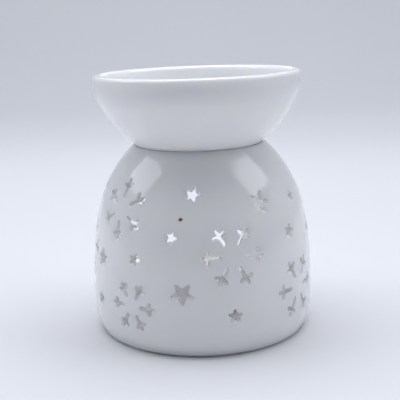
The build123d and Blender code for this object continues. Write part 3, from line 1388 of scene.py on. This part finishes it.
@lru_cache(maxsize=None)
def pattern(kind: Pattern) -> bpy.types.NodeTree:
    """Builds a shared shader group once.

    Args:
        kind: which group.

    Returns:
        The group.
    """
    tree = bpy.data.node_groups.new(kind.value, "ShaderNodeTree")
    sizes = {
        Pattern.RIPPLE: {"Broad Scale": 90.0, "Fine Scale": 700.0, "Fine Share": 0.2},
        Pattern.SPECKS: {"Scale": 400.0, "Size": 0.08, "Share": 0.2},
    }[kind]
    tree.interface.new_socket("Vector", in_out="INPUT", socket_type="NodeSocketVector")
    for label, value in sizes.items():
        socket = tree.interface.new_socket(label, in_out="INPUT", socket_type="NodeSocketFloat")
        socket.default_value = value
    results = ("Height", "Mottle") if kind is Pattern.RIPPLE else ("Mask",)
    for label in results:
        tree.interface.new_socket(label, in_out="OUTPUT", socket_type="NodeSocketFloat")
    bench = Bench(tree)
    start = bench.node("NodeGroupInput").outputs
    end = bench.node("NodeGroupOutput").inputs
    if kind is Pattern.RIPPLE:
        broad = bench.noise(start[0], start[1])[0]
        fine = bench.noise(start[0], start[2], 3.0)[0]
        tree.links.new(bench.math("MULTIPLY_ADD", fine, start[3], broad), end[0])
        tree.links.new(bench.ramp(broad, 0.3, 0.7), end[1])
    else:
        cells = bench.node("ShaderNodeTexVoronoi", {"Vector": start[0], "Scale": start[1]}).outputs
        dot = bench.ramp(cells["Distance"], start[2], bench.times(start[2], 0.4))
        pick = bench.node("ShaderNodeSeparateColor", {0: cells["Color"]}).outputs[0]
        chosen = bench.math("LESS_THAN", pick, start[3])
        tree.links.new(bench.times(dot, chosen), end[0])
    return tree


class Finish(Bench):
    """A material in the making."""

    def __init__(self, name: str) -> None:
        """Starts the material.

        Args:
            name: its name.
        """
        self.material = bpy.data.materials.new(name)
        self.material.use_nodes = True
        super().__init__(self.material.node_tree)
        self.shader = self.tree.nodes["Principled BSDF"]
        self.spot = self.node("ShaderNodeTexCoord").outputs["Object"]

    def pattern(self, kind: Pattern, **sizes: float) -> bpy.types.bpy_prop_collection:
        """Places a shared group.

        Args:
            kind: which group.
            sizes: its inputs, with underlines for spaces.

        Returns:
            Its outputs.
        """
        made = self.tree.nodes.new("ShaderNodeGroup")
        made.node_tree = pattern(kind)
        self.tree.links.new(self.spot, made.inputs["Vector"])
        for key, value in sizes.items():
            made.inputs[key.replace("_", " ")].default_value = value
        return made.outputs

    def set(self, **values: object) -> None:
        """Sets or links the shader's inputs.

        Args:
            values: values or sockets, named with underlines for spaces.
        """
        for key, value in values.items():
            socket = self.shader.inputs[key.replace("_", " ")]
            if isinstance(value, Socket):
                self.tree.links.new(value, socket)
            else:
                socket.default_value = value

    def strands(self, scale: Place) -> Socket:
        """The height of noise drawn out by its scale along each axis."""
        stretch = self.node("ShaderNodeMapping", {"Vector": self.spot, "Scale": scale})
        return self.noise(stretch.outputs[0], 1.0)[0]

    def bump(self, height: Socket, strength: float, distance: float) -> Socket:
        """A normal that a height turns."""
        inputs = {"Height": height, "Strength": strength, "Distance": distance * MM}
        return self.node("ShaderNodeBump", inputs).outputs[0]


@dataclass(frozen=True)
class Glaze:
    """White glaze over porcelain: rippled, pooled, faintly specked, thin on edges."""

    name: str
    pooled: Colour = (0.875, 0.875, 0.885, 1.0)
    thin: Colour = (0.885, 0.88, 0.875, 1.0)
    on_edge: Colour = (0.92, 0.92, 0.91, 1.0)
    speck: Colour = (0.30, 0.25, 0.20, 1.0)
    bisque: Colour = (0.74, 0.71, 0.66, 1.0)
    grit: Colour = (0.80, 0.78, 0.74, 1.0)
    iron: Colour = (0.07, 0.045, 0.03, 1.0)
    iron_halo: Colour = (0.62, 0.45, 0.27, 1.0)
    rough: Point = (0.10, 0.15)
    bare_rough: float = 0.65
    coat: float = 0.55
    depth: float = 4.5
    edge_share: float = 0.5
    speck_share: float = 0.35
    glaze_line: Point = (0.3, 0.55)  # lowest and highest place where the glaze ends above the foot
    glaze_line_fade: float = 0.15
    iron_shares: Point = (0.35, 0.92)  # how strongly the halo and the core colour the glaze
    iron_halo_reach: Point = (1.5, 0.4)  # radius where it starts, and where it is full
    iron_reach: Point = (0.72, 0.42)  # the same for the core
    iron_waver: float = 0.9
    bare_foot: bool = False
    iron_spot: Place | None = None

    def make(self) -> bpy.types.Material:
        """Builds the finish.

        Returns:
            The material.
        """
        finish = Finish(self.name)
        ripple = finish.pattern(Pattern.RIPPLE, Broad_Scale=95.0, Fine_Scale=520.0, Fine_Share=0.12)
        specks = finish.pattern(Pattern.SPECKS, Scale=190.0, Size=0.045, Share=0.16)
        edge = finish.node("ShaderNodeAttribute", attribute_name="glaze_edge").outputs["Fac"]
        tone = finish.mix(ripple["Mottle"], self.pooled, self.thin)
        tone = finish.mix(finish.times(edge, self.edge_share), tone, self.on_edge)
        tone = finish.mix(finish.times(specks["Mask"], self.speck_share), tone, self.speck)
        height = finish.math("MULTIPLY_ADD", specks["Mask"], -0.4, ripple["Height"])
        rough = finish.spread(ripple["Mottle"], *self.rough)
        if self.iron_spot:
            tone, height = self.add_iron(finish, tone, height)
        coat: object = self.coat
        if self.bare_foot:
            low = finish.node("ShaderNodeSeparateXYZ", {0: finish.spot}).outputs[2]
            grit = finish.noise(finish.spot, 900.0)[0]
            line = finish.spread(ripple["Mottle"], *(z * MM for z in self.glaze_line))
            bare = finish.ramp(low, finish.math("ADD", line, self.glaze_line_fade * MM), line)
            tone = finish.mix(bare, tone, finish.mix(grit, self.bisque, self.grit))
            rough = finish.math("MULTIPLY_ADD", bare, self.bare_rough, rough)
            height = finish.math("ADD", height, finish.times(bare, finish.times(grit, 0.5)))
            coat = finish.ramp(bare, 0.0, 1.0, self.coat, 0.0)
        finish.set(Base_Color=tone, Roughness=rough, IOR=1.52, Coat_Weight=coat, Coat_Roughness=0.07,
                   Subsurface_Weight=0.9, Subsurface_Radius=(1.0, 0.95, 0.86),
                   Subsurface_Scale=self.depth * MM, Normal=finish.bump(height, strength=0.35, distance=0.12))
        return finish.material

    def add_iron(self, finish: Finish, tone: Socket, height: Socket) -> tuple[Socket, Socket]:
        """Burns an iron spot into the glaze.

        Args:
            finish: the material in the making.
            tone: its colour so far.
            height: its height so far.

        Returns:
            The colour and the height with the spot.
        """
        warp = finish.noise(finish.spot, 1500.0)[1]
        nudge = finish.vector("SUBTRACT", {0: warp, 1: (0.5, 0.5, 0.5)})
        scaled = finish.vector("SCALE", {0: nudge, "Scale": self.iron_waver * MM})
        moved = finish.vector("ADD", {0: finish.spot, 1: scaled})
        away = finish.vector("DISTANCE", {0: moved, 1: self.iron_spot})
        halo = finish.ramp(away, *(reach * MM for reach in self.iron_halo_reach))
        core = finish.ramp(away, *(reach * MM for reach in self.iron_reach))
        tone = finish.mix(finish.times(halo, self.iron_shares[0]), tone, self.iron_halo)
        tone = finish.mix(finish.times(core, self.iron_shares[1]), tone, self.iron)
        return tone, finish.math("MULTIPLY_ADD", core, -0.8, height)


@dataclass(frozen=True)
class Surface:
    """A finish that blends two colours over the shared ripple.

    Its ripple is a broad scale, a fine scale and the fine one's share, and its relief the bump's strength
    and depth in millimetres.
    """

    name: str
    low: Colour
    high: Colour
    rough: Point
    ripple: tuple[float, float, float]
    relief: Point
    constants: tuple[tuple[str, object], ...] = ()

    def make(self) -> bpy.types.Material:
        """Builds the finish.

        Returns:
            The material.
        """
        finish = Finish(self.name)
        broad, fine, share = self.ripple
        ripple = finish.pattern(Pattern.RIPPLE, Broad_Scale=broad, Fine_Scale=fine, Fine_Share=share)
        blend, wear, height = self.detail(finish, ripple)
        finish.set(Base_Color=finish.mix(blend, self.low, self.high),
                   Roughness=finish.spread(wear, *self.rough),
                   Normal=finish.bump(height, *self.relief), **dict(self.constants))
        return finish.material

    def detail(self, finish: Finish, ripple: bpy.types.bpy_prop_collection) -> tuple[Socket, ...]:
        """Works out how the finish varies.

        Args:
            finish: the material in the making.
            ripple: the shared ripple's outputs.

        Returns:
            What blends the colours, what varies the roughness, and the height.
        """
        return ripple["Mottle"], ripple["Mottle"], ripple["Height"]


@dataclass(frozen=True)
class Foil(Surface):
    """Bright pressed aluminium with fine drawing lines."""

    name: str = "tealight_foil"
    low: Colour = (0.80, 0.80, 0.82, 1.0)
    high: Colour = (0.90, 0.90, 0.90, 1.0)
    rough: Point = (0.16, 0.32)
    ripple: tuple[float, float, float] = (140.0, 1600.0, 0.3)
    relief: Point = (0.3, 0.05)
    constants: tuple[tuple[str, object], ...] = (("Metallic", 1.0),)
    line_scale: Place = (300.0, 300.0, 9000.0)
    line_height: float = 0.25

    def detail(self, finish: Finish, ripple: bpy.types.bpy_prop_collection) -> tuple[Socket, ...]:
        """Adds the drawing lines, which set the gloss and stand up a little.

        Args:
            finish: the material in the making.
            ripple: the shared ripple's outputs.

        Returns:
            What blends the colours, what varies the roughness, and the height.
        """
        lines = finish.strands(self.line_scale)
        height = finish.math("MULTIPLY_ADD", lines, self.line_height, ripple["Height"])
        return ripple["Mottle"], lines, height


@dataclass(frozen=True)
class Wax(Surface):
    """White paraffin wax with a frosted, mottled skin."""

    name: str = "tealight_wax_white"
    low: Colour = (0.86, 0.85, 0.80, 1.0)
    high: Colour = (0.93, 0.925, 0.90, 1.0)
    rough: Point = (0.34, 0.56)
    ripple: tuple[float, float, float] = (260.0, 2200.0, 0.35)
    relief: Point = (0.3, 0.12)
    constants: tuple[tuple[str, object], ...] = (
        ("IOR", 1.44), ("Subsurface_Weight", 0.55), ("Subsurface_Radius", (2.0, 1.8, 1.5)),
        ("Subsurface_Scale", 1.5 * MM))


@dataclass(frozen=True)
class Cotton(Surface):
    """Waxed cotton yarn with fibres along the strand."""

    name: str = "wick_cotton_waxed"
    low: Colour = (0.70, 0.66, 0.56, 1.0)
    high: Colour = (0.93, 0.91, 0.85, 1.0)
    rough: Point = (0.6, 0.8)
    ripple: tuple[float, float, float] = (600.0, 4000.0, 0.4)
    relief: Point = (0.5, 0.08)
    constants: tuple[tuple[str, object], ...] = (("Sheen_Weight", 0.3),)
    fibre_scale: Place = (9000.0, 9000.0, 1500.0)

    def detail(self, finish: Finish, ripple: bpy.types.bpy_prop_collection) -> tuple[Socket, ...]:
        """The fibres blend the colours and stand up."""
        fibres = finish.strands(self.fibre_scale)
        return fibres, ripple["Mottle"], fibres


@dataclass(frozen=True)
class Tin(Surface):
    """Tinned steel sheet with rolling marks."""

    name: str = "wick_tab_tinned"
    low: Colour = (0.52, 0.52, 0.53, 1.0)
    high: Colour = (0.68, 0.68, 0.68, 1.0)
    rough: Point = (0.32, 0.52)
    ripple: tuple[float, float, float] = (300.0, 3000.0, 0.3)
    relief: Point = (0.3, 0.04)
    constants: tuple[tuple[str, object], ...] = (("Metallic", 1.0),)

    def detail(self, finish: Finish, ripple: bpy.types.bpy_prop_collection) -> tuple[Socket, ...]:
        """Fine specks dull the sheet."""
        specks = finish.pattern(Pattern.SPECKS, Scale=1500.0, Size=0.12, Share=0.3)
        return ripple["Mottle"], specks["Mask"], ripple["Height"]


@dataclass(frozen=True)
class Backdrop(Surface):
    """Matt pale board."""

    name: str = "pale_board"
    low: Colour = (0.80, 0.81, 0.835, 1.0)
    high: Colour = (0.81, 0.82, 0.84, 1.0)
    rough: Point = (0.6, 0.65)
    ripple: tuple[float, float, float] = (4.0, 900.0, 0.3)
    relief: Point = (0.05, 0.1)


# ---------------------------------------------------------------- the studio


@dataclass(frozen=True)
class Softbox:
    """A soft light. Its place and target are metres seen from the camera's heading."""

    name: str
    place: Place
    size: Point
    watts: float
    target: Place = (0.0, 0.0, 0.05)


@dataclass(frozen=True)
class Studio:
    """A pale sweep, soft lights and the camera, all turned to the camera's heading. Metres."""

    heading: float = -10.5
    camera_distance: float = 0.307
    camera_height: float = 0.1172
    camera_offset: float = -0.0004
    camera_pitch: float = 12.66
    camera_roll: float = 1.36
    lens: float = 72.66
    light_tint: Place = (0.93, 0.945, 1.0)
    sky: float = 0.24
    sky_tint: Colour = (0.86, 0.91, 1.0, 1.0)
    sweep_near: float = 0.75
    sweep_far: float = 2.2
    sweep_curve: float = 0.6
    sweep_top: float = 2.4
    lights: tuple[Softbox, ...] = (
        Softbox("softbox_left", (-0.56, 0.05, 0.50), (0.44, 0.36), 0.9),
        Softbox("softbox_right", (0.54, -0.06, 0.54), (0.42, 0.36), 0.9),
        Softbox("softbox_above", (0.0, 0.06, 0.95), (1.1, 0.5), 4.6),
        Softbox("softbox_behind", (0.0, 0.40, 0.24), (0.34, 0.1), 0.08, (0.0, 0.03, 0.03)),
        Softbox("fill_dish", (0.0, -0.02, 0.24), (0.10, 0.06), 0.055, (0.0, 0.03, 0.09)),
        Softbox("fill_chamber", (0.0, 0.0, 0.061), (0.034, 0.034), 0.007, (0.0, 0.002, 0.0)),
        Softbox("softbox_backdrop", (0.0, 0.55, 1.5), (1.8, 0.4), 7.0, (0.0, 1.25, 0.35)),
    )

    @property
    def turn(self) -> Matrix:
        """Turns a place seen from the front to the camera's heading."""
        return Matrix.Rotation(radians(self.heading), 4, "Z")

    def build(self) -> None:
        """Makes the sweep, the lights, the world and the camera."""
        self.sweep()
        for light in self.lights:
            self.hang(light)
        self.world()
        self.camera()
        bpy.context.scene.view_settings.view_transform = "Standard"

    def sweep(self) -> None:
        """The floor, curving up into a wall all round, nearest behind the object."""
        around = np.radians(np.arange(0.0, 360.0, 3.0))
        reach = self.sweep_near + (self.sweep_far - self.sweep_near) * (1 - np.cos(around)) / 2
        curve = self.sweep_curve
        rise = np.concatenate([arc((0.0, curve), curve, -90, 0, 0.04), [[curve, self.sweep_top]]])
        points = [(0.0, 0.0, 0.0)]
        for out, height in rise:
            points += [((r + out) * sin(a), (r + out) * cos(a), height) for r, a in zip(reach, around)]
        count = len(around)
        faces = [(0, 1 + (k + 1) % count, 1 + k) for k in range(count)]
        for start in range(1, 1 + count * (len(rise) - 1), count):
            for k in range(count):
                here, after = start + k, start + (k + 1) % count
                faces.append((here, after, after + count, here + count))
        mesh = bpy.data.meshes.new("sweep")
        mesh.from_pydata(points, [], faces)
        mesh.transform(self.turn)
        mesh.shade_smooth()
        mesh.materials.append(Backdrop().make())
        placed("sweep", mesh)

    def hang(self, softbox: Softbox) -> None:
        """Hangs a soft light.

        Args:
            softbox: its place, size and strength.
        """
        light = bpy.data.lights.new(softbox.name, "AREA")
        light.shape = "RECTANGLE"
        light.size, light.size_y = softbox.size
        light.energy = softbox.watts
        light.color = self.light_tint
        hung = placed(softbox.name, light)
        hung.visible_camera = False
        spot = self.turn @ Vector(softbox.place)
        aim = self.turn @ Vector(softbox.target) - spot
        hung.matrix_world = Matrix.Translation(spot) @ aim.to_track_quat("-Z", "Y").to_matrix().to_4x4()

    def world(self) -> None:
        """An even, faintly cool sky."""
        world = bpy.data.worlds.new("studio")
        world.use_nodes = True
        sky = world.node_tree.nodes["Background"].inputs
        sky[0].default_value = self.sky_tint
        sky[1].default_value = self.sky
        bpy.context.scene.world = world

    def camera(self) -> None:
        """The camera, a little above the rim and looking down."""
        lens = bpy.data.cameras.new("camera")
        lens.lens = self.lens
        lens.sensor_width = 36.0
        lens.clip_start = 0.01
        view = placed("camera", lens)
        spot = Matrix.Translation((self.camera_offset, -self.camera_distance, self.camera_height))
        tilt = Matrix.Rotation(radians(90 - self.camera_pitch), 4, "X")
        view.matrix_world = self.turn @ spot @ tilt @ Matrix.Rotation(radians(-self.camera_roll), 4, "Z")
        bpy.context.scene.camera = view


# ---------------------------------------------------------------- putting it together


def settle_piece(mesh: bpy.types.Mesh, material: bpy.types.Material, body: str, node: str) -> None:
    """Puts a finished piece in the scene in place of its plain node.

    Args:
        mesh: the piece's mesh.
        material: its finish.
        body: the body that it rides on.
        node: the node that it stands for.
    """
    if not mesh.materials:
        mesh.materials.append(material)
    piece = placed(mesh.name, mesh)
    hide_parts(node)
    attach(piece, body)
    log.info("%s: %d points, %d faces, on %s", mesh.name, len(mesh.vertices), len(mesh.polygons), body)


def main() -> None:
    """Builds the studio and every piece, in order."""
    logging.basicConfig(level=logging.INFO, format="%(name)s: %(message)s")
    Studio().build()
    low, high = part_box("holder_body")
    body = HolderBody(radius=(high[0] - low[0]) / MM / 2)
    dish = MeltDish(body)
    tealight = Tealight(base=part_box("tealight_cup")[0][2] / MM)
    foil, cotton = Foil().make(), Cotton().make()
    settle_piece(body.build(), body.glaze(), "holder", "holder_body")
    settle_piece(dish.build(), dish.glaze(), "dish", "melt_dish")
    settle_piece(tealight.cup(foil), foil, "tealight", "tealight_cup")
    settle_piece(tealight.wax(), Wax().make(), "tealight", "tealight_wax")
    settle_piece(tealight.tab(), Tin().make(), "tealight", "wick_tab")
    settle_piece(tealight.wick(cotton), cotton, "tealight", "wick")


if __name__ == "__main__":
    main()
